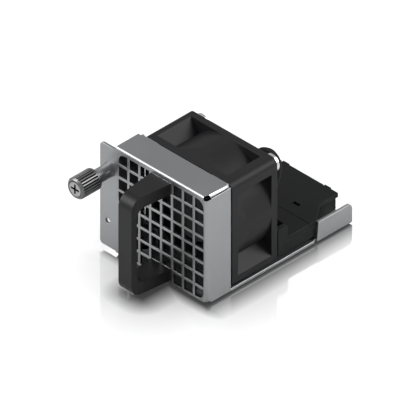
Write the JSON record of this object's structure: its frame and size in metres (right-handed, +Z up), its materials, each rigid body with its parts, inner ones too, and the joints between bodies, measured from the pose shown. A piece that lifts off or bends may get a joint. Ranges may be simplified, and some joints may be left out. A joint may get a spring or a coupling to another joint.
{
  "type": "hot-swappable fan module",
  "caption": "Plug-in fan module: a square axial fan on a bent sheet tray with a grille panel, pull handle, captive thumbscrew and rear plug housing.",
  "frame": {"origin": "underside of the tray, in the middle of its width and of its depth from front panel to rear edge", "axes": "+X towards the side with the front flange (away from the ear), +Y from the front panel to the rear plug, +Z up"},
  "size_m": [0.0489, 0.0845, 0.0423],
  "materials": {
    "satin_steel": "zinc-plated steel sheet, satin",
    "bright_steel": "nickel-plated steel, bright",
    "dark_nickel": "nickel-plated, satin",
    "fan_plastic": "glass-filled PBT, moulded matte",
    "handle_plastic": "moulded nylon, matte",
    "housing_plastic": "moulded ABS, matte",
    "plug_plastic": "nylon, natural",
    "ferrite": "bonded ferrite magnet",
    "copper": "enamelled copper wire",
    "brass_insert": "turned brass",
    "gold_contact": "gold-plated",
    "circuit_board": "solder-masked glass epoxy",
    "lead_sleeve": "black sleeved leads"
  },
  "bodies": {
    "root": {"tray": "satin_steel", "clinch_nuts": "bright_steel", "fan_screws": "bright_steel", "fan_frame": "fan_plastic", "front_bearing": "bright_steel", "rear_bearing": "bright_steel", "stator_core": "bright_steel", "stator_windings": "copper", "motor_board": "circuit_board", "pull_handle": "handle_plastic", "handle_inserts": "brass_insert", "handle_screws": "bright_steel", "thumbscrew_sleeve": "dark_nickel", "thumbscrew_spring": "bright_steel", "housing_base": "housing_plastic", "lead_cover": "housing_plastic", "plug_cover": "housing_plastic", "interface_board": "circuit_board", "backplane_connector": "housing_plastic", "connector_contacts": "gold_contact", "lead_header": "plug_plastic", "lead_plug": "plug_plastic", "fan_leads": "lead_sleeve"},
    "rotor": {"impeller": "fan_plastic", "rotor_yoke": "bright_steel", "rotor_magnet": "ferrite", "fan_shaft": "bright_steel", "bearing_spring": "bright_steel", "shaft_clip": "bright_steel"},
    "thumbscrew_slider": {"thumbscrew_washer": "bright_steel"},
    "thumbscrew_head": {"thumbscrew_knob": "dark_nickel", "thumbscrew_screw": "bright_steel"}
  },
  "joints": [
    {"name": "rotor_spin", "type": "hinge", "parent": "root", "child": "rotor", "pos_m": [0, -0.01, 0.021], "axis": [0, 1, 0], "continuous": true},
    {"name": "thumbscrew_push", "type": "slide", "parent": "root", "child": "thumbscrew_slider", "axis": [0, 1, 0], "range_m": [0, 0.004], "stiffness_N_per_m": 300, "springref_m": -0.002, "deforming": ["thumbscrew_spring"]},
    {"name": "thumbscrew_turn", "type": "hinge", "parent": "thumbscrew_slider", "child": "thumbscrew_head", "pos_m": [-0.0239, -0.045, 0.0316], "axis": [0, 1, 0], "continuous": true}
  ]
}
